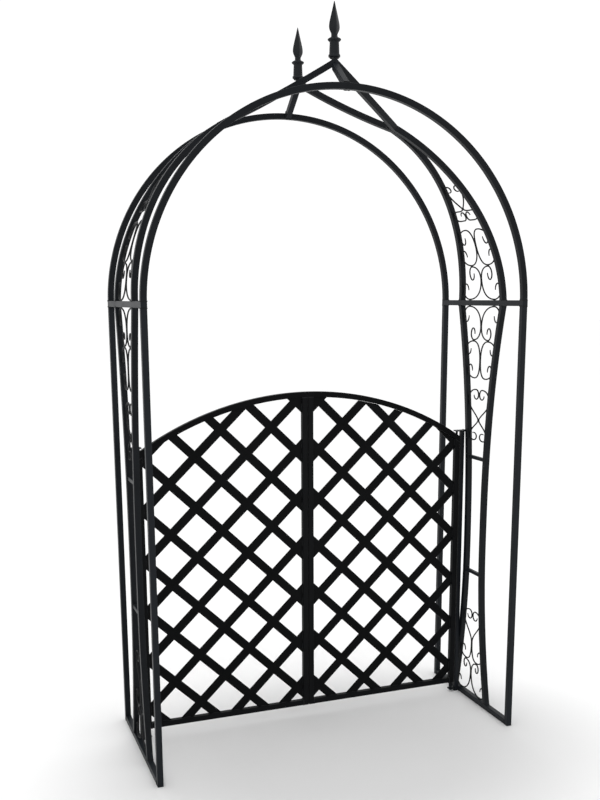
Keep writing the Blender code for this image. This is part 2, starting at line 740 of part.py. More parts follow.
head_z = arc_z(axis_x, crown_radius)
bush_top = arc_z(half_gate, crown_radius - GATE_TUBE) - 2 * GAP
for side_name, side in SIDES:
    x = side * axis_x
    leaf = f"{side_name}_gate"
    pieces = [stile(f"{leaf}_hinge_stile", side, half_gate, half_gate - GATE_TUBE),
              stile(f"{leaf}_meeting_stile", side, seam_x + GATE_TUBE, seam_x)]
    rail_z = GATE_BOTTOM + half_frame
    pieces.append(tube(f"{leaf}_bottom_rail",
                       straight((side * (seam_x + GATE_TUBE + GAP), GATE_Y, rail_z),
                                (side * (half_gate - GATE_TUBE - GAP), GATE_Y, rail_z), UP),
                       GATE_TUBE, GATE_WALL))
    rail_radius = crown_radius - half_frame
    points = []
    normals = []
    for at in ([seam_x] + [edge * rail_radius / (rail_radius - half_frame)
                           for edge in inner_edges] + [half_gate]):
        spot = Vector((side * at, 0, math.sqrt(rail_radius ** 2 - at ** 2)))
        points.append(Vector((spot.x, GATE_Y, crown_centre + spot.z)))
        normals.append(spot.normalized())
    top_rail = tube(f"{leaf}_top_rail", along(points, normals), GATE_TUBE, GATE_WALL,
                    start=ACROSS, end=ACROSS)
    bm = bmesh.new()
    turned(bm, (x, GATE_Y, head_z), [(bush_top - head_z, PIN / 2 + PIN_CLEAR),
                                     (HOLE_PAST, PIN / 2 + PIN_CLEAR)])
    combine(top_rail, place(f"guide_{leaf}_rail_hole", bm), "DIFFERENCE")
    pieces += [top_rail, lattice(f"{leaf}_lattice", side),
               bush(f"{leaf}_foot_bush", x, GATE_BOTTOM),
               bush(f"{leaf}_head_bush", x, bush_top - BUSH_LENGTH)]
    hinge_group(side_name, side, pieces)

# ================================================================ hinge posts, tabs and pins
tab_top_low = head_z + HEAD_TAB_CLEAR
for side_name, side in SIDES:
    tube(f"{side_name}_hinge_post",
         straight((side * post_x, GATE_Y, 0), (side * post_x, GATE_Y, tab_top_low - GAP), ACROSS),
         HINGE_POST)
    x = side * axis_x
    near = side * (axis_x - TAB_REACH)
    for place_name, tab_low, tab_end in (("foot", FOOT_TAB_Z, post_face - GAP),
                                         ("head", tab_top_low, RADIUS - HALF_TUBE - GAP)):
        far = side * tab_end
        bm = bmesh.new()
        box(bm, (min(near, far), GATE_Y - TAB_LENGTH / 2, tab_low),
            (max(near, far), GATE_Y + TAB_LENGTH / 2, tab_low + TAB_THICK))
        tab = place(f"{side_name}_{place_name}_pivot", bm)
        if place_name == "foot":
            profile = [(TAB_THICK / 2, SHOULDER / 2),
                       (GATE_BOTTOM - GAP - tab_low, SHOULDER / 2),
                       (GATE_BOTTOM - GAP - tab_low, PIN / 2),
                       (GATE_BOTTOM + PIN_DEPTH - tab_low, PIN / 2)]
        else:
            profile = [(bush_top - PIN_DEPTH - tab_low, PIN / 2), (TAB_THICK / 2, PIN / 2)]
        bm = bmesh.new()
        turned(bm, (x, GATE_Y, tab_low), profile)
        combine(tab, place(f"guide_{side_name}_{place_name}_pin", bm), "UNION")
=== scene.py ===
"""Looks of the garden arch with a double lattice gate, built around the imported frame.

Metres, +Z up, front at -Y. Each tube, bar, rod and casting gets a fine mesh of its own
that rides on its CAD body and stands for its CAD node. The pivots and bushes keep their
CAD meshes. All of it is powder coated steel, apart from the zinc bushes.
"""
import math

import bmesh
import bpy
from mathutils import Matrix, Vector, noise


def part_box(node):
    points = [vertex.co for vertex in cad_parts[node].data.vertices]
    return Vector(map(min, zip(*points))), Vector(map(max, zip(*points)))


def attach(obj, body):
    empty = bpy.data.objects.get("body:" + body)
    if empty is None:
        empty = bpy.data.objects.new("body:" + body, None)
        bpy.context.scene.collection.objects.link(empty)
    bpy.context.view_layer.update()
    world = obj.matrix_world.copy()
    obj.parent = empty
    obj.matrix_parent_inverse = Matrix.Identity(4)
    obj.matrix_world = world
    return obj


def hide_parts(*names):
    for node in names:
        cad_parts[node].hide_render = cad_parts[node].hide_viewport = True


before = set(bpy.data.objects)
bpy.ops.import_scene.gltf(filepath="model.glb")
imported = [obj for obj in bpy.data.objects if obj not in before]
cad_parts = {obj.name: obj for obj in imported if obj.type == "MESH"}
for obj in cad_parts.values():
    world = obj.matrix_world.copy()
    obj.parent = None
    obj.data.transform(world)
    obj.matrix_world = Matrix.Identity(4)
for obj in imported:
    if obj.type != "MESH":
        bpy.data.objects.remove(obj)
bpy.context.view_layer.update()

# ---------------------------------------------------------------- sizes of the part
SPAN, DEPTH, SPRING_Z, TUBE, GAP = 1.250, 0.535, 1.472, 0.019, 0.0003
CROWN_HALF, WAIST_HALF, FOOT_HALF = 0.141, 0.055, 0.116
WAIST_Z, FLARE, SPREAD = 0.590, 2.55, 2.0
UPPER_TIE_Z, LOWER_TIE_Z, TIE = SPRING_Z - 0.552, 0.492, 0.012
MEET_ANGLE, MEET_CLEAR, EASE = 64.0, 0.001, 0.6
APEX_RISE, FINIAL_Y, PARTING, STRUT_DROP = SPAN / 2 + 0.088, 0.160, 0.27, 0.008
STRUT_RISE = 0.003
ROD, WELD, RIM_CLEAR = 0.005, 0.0004, 0.0004
TOP_PAIR, NEXT_PAIR, HEART_DROP, HEART = 0.122, 0.136, 0.303, 0.189
BASE_SCROLL, BASE_PAIR = 0.200, 0.127
ARCH_PAIR, ARCH_NEXT, ARCH_HEART_RISE, ARCH_HEART = 0.118, 0.130, 0.286, 0.135
JOIN, TIP, HOOK = 0.47, 0.75, 0.68
BIG_CURL = (0.22, 0.64, 1.0, 262)
SMALL_CURL = (0.21, JOIN, 0.64, 275)
UPPER_CURL = (0.24, JOIN, 1.0, 265)
LOWER_CURL = (0.31, JOIN, 1.0, 270)
SIDE_HEART = (0.265, 0.038, 0.59, 0.28, 0.42)
ARCHED_HEART = (0.21, 0.022, 0.33, 0.27, 0.40)
HEART_SLANT, ARCHED_SLANT = 50.0, 40.0
QUARTER_TURN, TAIL_TURN, LOBE_TURN = 90, 290, 265
LONG_PAIR = (0.31, 0.034, 0.62, 0.31)
GATE_Y, GATE_TUBE, GATE_SIDE_CLEAR, GATE_SEAM = 0.086, 0.019, 0.0045, 0.002
HINGE_POST, TAB_THICK = 0.015, 0.004
GATE_BOTTOM, GATE_CROWN, GATE_SHOULDER = 0.0375, 1.175, 0.992
LATTICE_BAR, LATTICE_THICK = 0.030, 0.004
LATTICE_HALF_X, LATTICE_HALF_Z = 0.0894, 0.0866
LATTICE_FIRST_X, LATTICE_FIRST_Z = 0.041, 0.068

# ---------------------------------------------------------------- fineness of the mesh
HOOP_STEPS, RIB_STEPS, OGEE_STEPS, BOW_STEPS, RAIL_STEPS = 144, 72, 28, 72, 48
CURL_STEPS, HOOK_STEPS, RUN_STEPS = 30, 8, 12
CORNER_STEPS = 4            # faces round each corner of a tube
CORNER = 0.0015             # corner radius of the tubes
BAR_CORNER = 0.0012
ROD_SIDES = 12
TURNED_SIDES = 56
SLOPE_STEP = 0.005          # half the run over which a bar's slope is taken

# ---------------------------------------------------------------- welds
BEAD = 0.0017               # radius of a weld bead
BEAD_SIDES = 7
BEAD_STEPS = 64
BEAD_RIPPLES, RIPPLE = 22, 0.16
BEAD_ROUGH, BEAD_GRAIN = 0.35, 190.0
TACK_ROWS, TACK_COLUMNS = 6, 12
TACK_ROUGH, TACK_GRAIN = 0.22, 260.0
# Half length, half width and height of each kind of tack.
RIB_TACK = (0.0062, 0.0030, 0.0020)
FINIAL_TACK = (0.0036, 0.0022, 0.0022)
SCROLL_TACK = (0.0050, 0.0026, 0.0026)
SCROLL_FOOT_TACK = (0.0072, 0.0030, 0.0034)
LATTICE_TACK = (0.013, 0.0022, 0.0016)
TAB_TACK = (0.0032, 0.0020, 0.0020)
POST_FOOT_TACK = (0.0045, 0.0024, 0.0020)
POST_TACK = (0.0070, 0.0024, 0.0020)
RIB_TACK_STEPS = range(-5, 3)          # steps of the rib on either side of where the ribs part
RIB_TACK_SINK = 0.0012
FINIAL_TACKS, FINIAL_TACK_REACH, FINIAL_TACK_RISE, FINIAL_TACK_LEAN = 14, 0.0122, 0.0003, 0.5
SCROLL_TACK_APART, SCROLL_TACK_STEP = 0.012, 0.004
SIDE_NEAR, MIDDLE_NEAR = 0.0007, 0.00004    # how near a rod is when it counts as touching
LATTICE_TACK_ENDS = 0.012
TAB_TACKS, TAB_TACK_PITCH = range(-2, 3), 0.0035
POST_FOOT_TACK_Z = (0.006, 0.013)
POST_TACK_Z = (0.140, 0.152, 0.164, 0.176, 0.188, 0.200, 0.212)

# ---------------------------------------------------------------- angles kept sharp, in degrees
TUBE_SHARP, FINIAL_SHARP, ROD_SHARP, WELD_SHARP = 38.0, 32.0, 60.0, 70.0

RADIUS = SPAN / 2
HALF_TUBE = TUBE / 2
half_depth = DEPTH / 2
rail_under = SPRING_Z - HALF_TUBE
SIDES = (("left", -1), ("right", 1))
FACES = (("front", -1), ("back", 1))
UP = Vector((0, 0, 1))
ACROSS = Vector((1, 0, 0))
AWAY = Vector((0, 1, 0))


# ================================================================ materials
def node(tree, kind, **values):
    made = tree.nodes.new(kind)
    for key, value in values.items():
        if key in made.inputs:
            made.inputs[key].default_value = value
        else:
            setattr(made, key, value)
    return made


EDGE_HIGHLIGHT_PALER = 2.2            # how much paler the coat is painted along its edges, as a painted highlight
ROUGH_BELOW, ROUGH_ABOVE = 0.05, 0.07


def powder_coat(name, dark, light, rough, peel, grain, gloss):
    """Satin black powder coat: a fine orange peel, faint cloudiness and a painted highlight that
    makes the edges paler.
    """
    material = bpy.data.materials.new(name)
    material.use_nodes = True
    tree = material.node_tree
    link = tree.links.new
    shader = tree.nodes["Principled BSDF"]
    shader.inputs["Metallic"].default_value = 0.0
    shader.inputs["IOR"].default_value = 1.5
    shader.inputs["Specular IOR Level"].default_value = gloss
    place = node(tree, "ShaderNodeTexCoord")
    cloud = node(tree, "ShaderNodeTexNoise", Scale=9.0, Detail=4.0, Roughness=0.55)
    link(place.outputs["Object"], cloud.inputs["Vector"])
    tint = node(tree, "ShaderNodeValToRGB")
    tint.color_ramp.elements[0].position = 0.32
    tint.color_ramp.elements[0].color = (*dark, 1)
    tint.color_ramp.elements[1].position = 0.72
    tint.color_ramp.elements[1].color = (*light, 1)
    link(cloud.outputs["Fac"], tint.inputs["Fac"])
    specks = node(tree, "ShaderNodeTexNoise", Scale=grain, Detail=2.0, Roughness=0.6)
    link(place.outputs["Object"], specks.inputs["Vector"])
    shape = node(tree, "ShaderNodeNewGeometry")
    # edges, found by pointiness, are painted paler: a painted highlight
    edge = node(tree, "ShaderNodeMapRange")
    edge.inputs["From Min"].default_value = 0.515
    edge.inputs["From Max"].default_value = 0.60
    edge.inputs["To Max"].default_value = 0.45
    link(shape.outputs["Pointiness"], edge.inputs["Value"])
    painted_edge_highlight = node(tree, "ShaderNodeMix", data_type="RGBA")
    painted_edge_highlight.inputs["B"].default_value = (*(part * EDGE_HIGHLIGHT_PALER for part in light), 1)
    link(edge.outputs["Result"], painted_edge_highlight.inputs["Factor"])
    link(tint.outputs["Color"], painted_edge_highlight.inputs["A"])
    link(painted_edge_highlight.outputs["Result"], shader.inputs["Base Color"])
    sheen = node(tree, "ShaderNodeMapRange")
    sheen.inputs["From Min"].default_value = 0.3
    sheen.inputs["From Max"].default_value = 0.7
    sheen.inputs["To Min"].default_value = rough - ROUGH_BELOW
    sheen.inputs["To Max"].default_value = rough + ROUGH_ABOVE
    link(cloud.outputs["Fac"], sheen.inputs["Value"])
    link(sheen.outputs["Result"], shader.inputs["Roughness"])
    bump = node(tree, "ShaderNodeBump", Strength=peel, Distance=0.0004)
    link(specks.outputs["Fac"], bump.inputs["Height"])
    link(bump.outputs["Normal"], shader.inputs["Normal"])
    return material


def zinc_plate():
    """Dull zinc with fine turning marks."""
    material = bpy.data.materials.new("zinc_plate")
    material.use_nodes = True
    tree = material.node_tree
    link = tree.links.new
    shader = tree.nodes["Principled BSDF"]
    shader.inputs["Metallic"].default_value = 1.0
    place = node(tree, "ShaderNodeTexCoord")
    marks = node(tree, "ShaderNodeTexNoise", Scale=380.0, Detail=3.0)
    link(place.outputs["Object"], marks.inputs["Vector"])
    tint = node(tree, "ShaderNodeValToRGB")
    tint.color_ramp.elements[0].color = (0.26, 0.26, 0.25, 1)
    tint.color_ramp.elements[1].color = (0.44, 0.44, 0.43, 1)
    link(marks.outputs["Fac"], tint.inputs["Fac"])
    link(tint.outputs["Color"], shader.inputs["Base Color"])
    rough = node(tree, "ShaderNodeMapRange")
    rough.inputs["To Min"].default_value = 0.32
    rough.inputs["To Max"].default_value = 0.48
    link(marks.outputs["Fac"], rough.inputs["Value"])
    link(rough.outputs["Result"], shader.inputs["Roughness"])
    return material


# These five coats are one black powder coat, and their tones are painted light and shade: the finial
# coat is painted palest as lit from above, the gate coat darkest as shade, and the tube, rod and weld
# coats sit in between
TUBE_PAINT = powder_coat("tube_powder_coat", (0.0032, 0.0041, 0.0054), (0.0064, 0.0078, 0.0098),
                         0.42, 0.10, 900.0, 0.12)
# the gates' coat: painted shade, darker than the tubes
GATE_SHADED_PAINT = powder_coat("gate_powder_coat_painted_shade", (0.0018, 0.0020, 0.0022), (0.0036, 0.0039, 0.0043),
                         0.48, 0.12, 900.0, 0.05)
ROD_PAINT = powder_coat("rod_powder_coat", (0.0030, 0.0034, 0.0038), (0.0058, 0.0064, 0.0072),
                        0.44, 0.10, 1100.0, 0.13)
# the finials' coat: painted light, paler and bluer than the tubes
CAST_LIT_PAINT = powder_coat("cast_powder_coat_painted_light", (0.0044, 0.0055, 0.0068), (0.0086, 0.0102, 0.0124),
                         0.44, 0.22, 620.0, 0.17)
WELD_PAINT = powder_coat("weld_powder_coat", (0.0030, 0.0034, 0.0038), (0.0060, 0.0066, 0.0074),
                         0.42, 0.30, 520.0, 0.15)
ZINC = zinc_plate()


# ================================================================ mesh helpers
def finish_piece(name, bm, material, body, nodes=(),
                 sharp=TUBE_SHARP):
    """A bmesh as a finished piece that rides on a body and stands for CAD nodes."""
    bmesh.ops.recalc_face_normals(bm, faces=bm.faces[:])
    mesh = bpy.data.meshes.new(name)
    bm.to_mesh(mesh)
    bm.free()
    mesh.materials.append(material)
    mesh.shade_smooth()
    mesh.set_sharp_from_angle(angle=math.radians(sharp))
    piece = bpy.data.objects.new(name, mesh)
    bpy.context.scene.collection.objects.link(piece)
    flat = piece.modifiers.new("even_flats", "WEIGHTED_NORMAL")
    flat.keep_sharp = True
    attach(piece, body)
    if nodes:
        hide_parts(*nodes)
    return piece


def rounded(half_a, half_b, corner):
    """Outline of a rectangle with round corners, as (a, b) offsets."""
    outline = []
    for quarter, (sa, sb) in enumerate(((1, 1), (-1, 1), (-1, -1), (1, -1))):
        for step in range(CORNER_STEPS + 1):
            angle = math.radians(QUARTER_TURN * (quarter + step / CORNER_STEPS))
            outline.append((sa * (half_a - corner) + corner * math.cos(angle),
                            sb * (half_b - corner) + corner * math.sin(angle)))
    return outline


def circle(radius, sides=ROD_SIDES):
    """Outline of a circle, as (a, b) offsets."""
    return [(radius * math.cos(math.tau * k / sides), radius * math.sin(math.tau * k / sides))
            for k in range(sides)]


def sweep(bm, stations, outline, start=None, end=None, closed=False, scales=None):
    """A closed solid of an outline carried through stations of (point, tangent, a, b)."""
    rings = []
    last = len(stations) - 1
    for number, (point, tangent, a, b) in enumerate(stations):
        trim = start if number == 0 else end if number == last else None
        size = scales[number] if scales else 1.0
        ring = []
        for oa, ob in outline:
            offset = (a * oa + b * ob) * size
            if trim:
                offset = offset - tangent * (offset.dot(trim) / tangent.dot(trim))
            ring.append(bm.verts.new(point + offset))
        rings.append(ring)
    pairs = list(zip(rings, rings[1:]))
    if closed:
        pairs.append((rings[-1], rings[0]))
    count = len(outline)
    for first, second in pairs:
        for k in range(count):
            after = (k + 1) % count
            bm.faces.new((first[k], first[after], second[after], second[k]))
    if not closed:
        bm.faces.new(rings[0])
        bm.faces.new(rings[-1])


def straight(first, second, a):
    """The two stations of a straight bar, with one side of its outline along a."""
    first, second, a = Vector(first), Vector(second), Vector(a).normalized()
    tangent = (second - first).normalized()
    b = tangent.cross(a).normalized()
    return [(first, tangent, a, b), (second, tangent, a, b)]


def along(points, normals):
    """Stations of a bar that bends through points, with its outline turned to the normals."""
    stations = []
    last = len(points) - 1
    for number, point in enumerate(points):
        back = points[max(number - 1, 0)]
        ahead = points[min(number + 1, last)]
        tangent = (ahead - back).normalized()
        b = normals[number]
        b = (b - tangent * b.dot(tangent)).normalized()
        stations.append((point, tangent, tangent.cross(b).normalized(), b))
    return stations


SQUARE = rounded(HALF_TUBE, HALF_TUBE, CORNER)
GATE_SQUARE = rounded(GATE_TUBE / 2, GATE_TUBE / 2, CORNER)
TIE_SQUARE = rounded(TIE / 2, TIE / 2, BAR_CORNER)
POST_SQUARE = rounded(HINGE_POST / 2, HINGE_POST / 2, CORNER)


def tube(name, stations, body="frame", outline=None, material=None, start=None, end=None):
    """A length of tube or bar that stands for the CAD node of its own name."""
    bm = bmesh.new()
    sweep(bm, stations, outline or SQUARE, start, end)
    return finish_piece(name + "_tube", bm, material or TUBE_PAINT, body, (name,))


# Welds collect in one mesh for each body.
welds = {body: bmesh.new() for body in ("frame", "left_gate", "right_gate")}


def bead(body, centre, a, b, half_a, half_b):
    """A rippled weld bead round the end of a tube; a and b span the plane of its end."""
    centre, a, b = Vector(centre), Vector(a).normalized(), Vector(b).normalized()
    normal = a.cross(b)
    loop = rounded(half_a, half_b, CORNER)
    points = [centre + a * oa + b * ob for oa, ob in loop]
    path = []
    lengths = [0.0]
    for first, second in zip(points, points[1:] + points[:1]):
        lengths.append(lengths[-1] + (second - first).length)
    total = lengths[-1]
    for step in range(BEAD_STEPS):
        want = total * step / BEAD_STEPS
        k = max(i for i in range(len(points)) if lengths[i] <= want)
        share = (want - lengths[k]) / (lengths[k + 1] - lengths[k])
        path.append(points[k].lerp(points[(k + 1) % len(points)], share))
    stations = []
    scales = []
    for step, point in enumerate(path):
        tangent = (path[(step + 1) % BEAD_STEPS] - path[step - 1]).normalized()
        out = tangent.cross(normal).normalized()
        stations.append((point, tangent, out, normal))
        ripple = RIPPLE * math.sin(math.tau * step * BEAD_RIPPLES / BEAD_STEPS)
        scales.append(1.0 + ripple + BEAD_ROUGH * noise.noise(point * BEAD_GRAIN))
    sweep(welds[body], stations, circle(BEAD, BEAD_SIDES), closed=True, scales=scales)


def tack(body, centre, along_way, normal, size):
    """A small lump of weld, lying along a direction on a surface."""
    centre, x, z = Vector(centre), Vector(along_way).normalized(), Vector(normal).normalized()
    y = z.cross(x).normalized()
    length, width, height = size
    bm = welds[body]
    rings = []
    for row in range(1, TACK_ROWS):
        lat = math.pi * row / TACK_ROWS
        ring = []
        for column in range(TACK_COLUMNS):
            lon = math.tau * column / TACK_COLUMNS
            at = (x * (length * math.cos(lat)) + y * (width * math.sin(lat) * math.cos(lon))
                  + z * (height * math.sin(lat) * math.sin(lon)))
            spot = centre + at
            ring.append(bm.verts.new(centre + at * (1 + TACK_ROUGH * noise.noise(spot * TACK_GRAIN))))
        rings.append(ring)
    tips = [bm.verts.new(centre + x * length), bm.verts.new(centre - x * length)]
    for first, second in zip(rings, rings[1:]):
        for k in range(TACK_COLUMNS):
            after = (k + 1) % TACK_COLUMNS
            bm.faces.new((first[k], first[after], second[after], second[k]))
    for tip, ring in zip(tips, (rings[0], rings[-1])):
        for k in range(TACK_COLUMNS):
            bm.faces.new((ring[k], ring[(k + 1) % TACK_COLUMNS], tip))


# ================================================================ curves of the sides
def bow_half(z):
    """Half the distance between the two bows of a side, at a height."""
    if z >= WAIST_Z:
        share = (z - WAIST_Z) / (rail_under - WAIST_Z)
        return WAIST_HALF + (CROWN_HALF - WAIST_HALF) * share ** FLARE
    share = (WAIST_Z - z) / (WAIST_Z - TUBE)
    return WAIST_HALF + (FOOT_HALF - WAIST_HALF) * share ** SPREAD


def rib_half(angle):
    """Half the distance between the two ribs of a side, at an angle up the arch."""
    meet = HALF_TUBE + MEET_CLEAR / 2
    share = min(angle / math.radians(MEET_ANGLE), 1.0)
    wave = (1 + math.cos(math.pi * share)) / 2
    return meet + (CROWN_HALF - meet) * (EASE * wave + (1 - EASE) * (1 - share))


def slope_width(spacing, where):
    """Half the width that a leaning tube takes across the panel."""
    slope = (spacing(where + SLOPE_STEP) - spacing(where - SLOPE_STEP)) / (2 * SLOPE_STEP)
    return HALF_TUBE * math.sqrt(1 + slope ** 2)


def panel_gap(v):
    """Half the clear width of a side panel, at a run v up from the spring rail."""
    if v < 0:
        return bow_half(SPRING_Z + v) - slope_width(bow_half, SPRING_Z + v)
    return rib_half(v / RADIUS) - slope_width(lambda rise: rib_half(rise / RADIUS), v)


def panel_point(side, y, v):
    """A point of a side panel and the panel's outward normal there."""
    if v < 0:
        return Vector((side * RADIUS, y, SPRING_Z + v)), Vector((side, 0, 0))
    angle = v / RADIUS
    normal = Vector((side * math.cos(angle), 0, math.sin(angle)))
    return Vector((0, y, SPRING_Z)) + normal * RADIUS, normal


# ================================================================ legs, rails, hoops, bows
for side_name, side in SIDES:
    x = side * RADIUS
    for face_name, face in FACES:
        y = face * half_depth
        tube(f"{side_name}_{face_name}_leg", straight((x, y, 0), (x, y, rail_under - GAP), ACROSS))
        bead("frame", (x, y, rail_under - GAP), ACROSS, AWAY, HALF_TUBE, HALF_TUBE)
        bead("frame", (x, y, SPRING_Z + HALF_TUBE + GAP), ACROSS, AWAY, HALF_TUBE, HALF_TUBE)
        bead("frame", (x, y - face * (HALF_TUBE + GAP), HALF_TUBE), ACROSS, UP, HALF_TUBE,
             HALF_TUBE - BEAD)
    reach = half_depth - HALF_TUBE - GAP
    tube(f"{side_name}_foot_rail",
         straight((x, -reach, HALF_TUBE), (x, reach, HALF_TUBE), ACROSS))
    reach = half_depth + HALF_TUBE
    tube(f"{side_name}_spring_rail",
         straight((x, -reach, SPRING_Z), (x, reach, SPRING_Z), ACROSS))
    for tie_name, tie_z in (("upper", UPPER_TIE_Z), ("lower", LOWER_TIE_Z)):
        reach = panel_gap(tie_z - SPRING_Z) - GAP
        lean = (bow_half(tie_z + TIE) - bow_half(tie_z - TIE)) / (2 * TIE)
        tube(f"{side_name}_{tie_name}_tie",
             straight((x, -reach, tie_z), (x, reach, tie_z), ACROSS), outline=TIE_SQUARE,
             start=Vector((0, -1, -lean)).normalized(), end=Vector((0, 1, -lean)).normalized())
        for face in (-1, 1):
            bead("frame", (x, face * reach, tie_z), ACROSS, UP, TIE / 2, TIE / 2)

low_angle = math.asin((HALF_TUBE + GAP) / RADIUS)
for face_name, face in FACES:
    points = []
    normals = []
    for step in range(HOOP_STEPS + 1):
        angle = low_angle + (math.pi - 2 * low_angle) * step / HOOP_STEPS
        normal = Vector((math.cos(angle), 0, math.sin(angle)))
        points.append(Vector((0, face * half_depth, SPRING_Z)) + normal * RADIUS)
        normals.append(normal)
    tube(f"{face_name}_hoop", along(points, normals), start=UP, end=UP)

bow_low = TUBE + GAP
bow_high = rail_under - GAP
for side_name, side in SIDES:
    x = side * RADIUS
    for face_name, face in FACES:
        points = []
        for step in range(BOW_STEPS + 1):
            z = bow_low + (bow_high - bow_low) * step / BOW_STEPS
            points.append(Vector((x, face * bow_half(z), z)))
        tube(f"{side_name}_{face_name}_bow", along(points, [ACROSS] * len(points)),
             start=UP, end=UP)
        bead("frame", points[0], ACROSS, AWAY, HALF_TUBE, HALF_TUBE)
        bead("frame", points[-1], ACROSS, AWAY, HALF_TUBE, HALF_TUBE)


# ================================================================ ribs
def rib_stations(side, face):
    """Stations of a rib: up the arch, close beside its twin, then out to its finial."""
    points = []
    normals = []
    leave = math.radians(MEET_ANGLE)
    for step in range(RIB_STEPS + 1):
        angle = low_angle + (leave - low_angle) * step / RIB_STEPS
        normal = Vector((side * math.cos(angle), 0, math.sin(angle)))
        points.append(Vector((0, face * rib_half(angle), SPRING_Z)) + normal * RADIUS)
        normals.append(normal)
    run_length = RADIUS * math.cos(leave)
    rise = APEX_RISE - RADIUS * math.sin(leave)
    slope = 1 / math.tan(leave)
    lift = (rise - slope * run_length) / run_length ** 2
    inner = rib_half(leave)
    for step in range(1, OGEE_STEPS + 1):
        share = step / OGEE_STEPS
        across = run_length * share
        z = SPRING_Z + RADIUS * math.sin(leave) + slope * across + lift * across ** 2
        y = inner + (FINIAL_Y - inner) * (share + PARTING * share * (1 - share))
        x = run_length - across if step < OGEE_STEPS else GAP / 2
        points.append(Vector((side * x, face * y, z)))
        normals.append(Vector((side * (slope + 2 * lift * across), 0, 1)).normalized())
    return along(points, normals)


for side_name, side in SIDES:
    for face_name, face in FACES:
        stations = rib_stations(side, face)
        tube(f"{side_name}_{face_name}_rib", stations, start=UP, end=ACROSS)
        bead("frame", stations[0][0], ACROSS, AWAY, HALF_TUBE, HALF_TUBE)
    # the two ribs are welded along the short stretch where they meet
    for step in RIB_TACK_STEPS:
        point, tangent, a, b = rib_stations(side, -1)[RIB_STEPS + step]
        middle = Vector((point.x, 0, point.z))
        for face in (-1, 1):
            tack("frame", middle + b * (face * (HALF_TUBE - RIB_TACK_SINK)), tangent, b,
                 RIB_TACK)


# ================================================================ struts and finials
for face_name, face in FACES:
    foot_y = half_depth - HALF_TUBE - GAP
    foot = Vector((0, face * foot_y, SPRING_Z + RADIUS + STRUT_RISE))
    head = Vector((0, face * FINIAL_Y, SPRING_Z + APEX_RISE - STRUT_DROP))
    head += (foot - head) * (HALF_TUBE / 2 / (foot_y - FINIAL_Y))
    tube(f"{face_name}_strut", straight(foot, head, ACROSS), start=AWAY, end=AWAY)
    tall = HALF_TUBE * math.hypot(head.z - foot.z, head.y - foot.y) / abs(head.y - foot.y)
    bead("frame", foot, ACROSS, UP, HALF_TUBE, tall)

# Height above the foot and radius of the turned part, then of the spear leaf.
SOCKET = [(0.0000, 0.0115), (0.0008, 0.0121), (0.0015, 0.0129), (0.0023, 0.0168),
          (0.0030, 0.0178), (0.0058, 0.0182), (0.0086, 0.0178), (0.0096, 0.0171),
          (0.0106, 0.0156), (0.0120, 0.0154), (0.0280, 0.0148), (0.0445, 0.0141),
          (0.0458, 0.0147), (0.0470, 0.0163), (0.0492, 0.0191), (0.0510, 0.0202),
          (0.0520, 0.0204), (0.0532, 0.0200), (0.0552, 0.0175), (0.0568, 0.0140),
          (0.0582, 0.0113), (0.0600, 0.0101), (0.0640, 0.0095), (0.0670, 0.0098)]
LEAF = [(0.0655, 0.0094), (0.0690, 0.0110), (0.0730, 0.0132), (0.0780, 0.0156),
        (0.0825, 0.0170), (0.0870, 0.0175), (0.0920, 0.0172), (0.0990, 0.0162),
        (0.1080, 0.0141), (0.1180, 0.0116), (0.1290, 0.0087), (0.1390, 0.0061),
        (0.1480, 0.0039), (0.1545, 0.0023), (0.1585, 0.0011)]
LEAF_TOP = 0.1603
RIDGE = 0.24                # how far the faces of the leaf fall back between its ridges
RIDGE_POWER = 0.85


def turned(bm, centre, profile, sides, ridge=0.0, top=None):
    """A turned solid, with four ridges if ridge is set and a point if top is given."""
    rings = []
    for height, radius in profile:
        ring = []
        for k in range(sides):
            angle = math.tau * k / sides
            fold = abs(math.sin(2 * angle)) ** RIDGE_POWER
            reach = radius * (1 - ridge * fold)
            ring.append(bm.verts.new((centre[0] + reach * math.cos(angle),
                                      centre[1] + reach * math.sin(angle), centre[2] + height)))
        rings.append(ring)
    for lower, upper in zip(rings, rings[1:]):
        for k in range(sides):
            after = (k + 1) % sides
            bm.faces.new((lower[k], lower[after], upper[after], upper[k]))
    bm.faces.new(rings[0])
    if top is None:
        bm.faces.new(rings[-1])
    else:
        tip = bm.verts.new((centre[0], centre[1], centre[2] + top))
        for k in range(sides):
            bm.faces.new((rings[-1][k], rings[-1][(k + 1) % sides], tip))


for face_name, face in FACES:
    low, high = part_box(f"{face_name}_finial")
    centre = ((low.x + high.x) / 2, (low.y + high.y) / 2, low.z)
    bm = bmesh.new()
    turned(bm, centre, SOCKET, TURNED_SIDES)
    turned(bm, centre, LEAF, TURNED_SIDES, RIDGE, LEAF_TOP)
    finish_piece(f"{face_name}_finial_cast", bm, CAST_LIT_PAINT, "frame", (f"{face_name}_finial",),
                 sharp=FINIAL_SHARP)
    for number in range(FINIAL_TACKS):
        angle = math.tau * number / FINIAL_TACKS
        out_x, out_y = math.cos(angle), math.sin(angle)
        spot = (centre[0] + FINIAL_TACK_REACH * out_x, centre[1] + FINIAL_TACK_REACH * out_y,
                centre[2] + FINIAL_TACK_RISE)
        tack("frame", spot, (-out_y, out_x, 0), (out_x, out_y, FINIAL_TACK_LEAN), FINIAL_TACK)


# ================================================================ scrolls
MIDDLE = ROD / 2 - WELD
RIM = ROD / 2
DOWN = (0, -1)
OUTWARD = (1, 0)
GENTLE, EVEN, FULL = 0.9, 1.1, 1.3
TAPER_STEPS, TAPER = 14, 0.30     # steps over which a rod's end thins, and by how much
TOP_TOUCH, NEXT_TOUCH, BASE_TOUCH = 0.60, 0.52, 0.66
CURL_FOOT = BIG_CURL[1]           # where the big curls rest on a rail, as a share of the gap


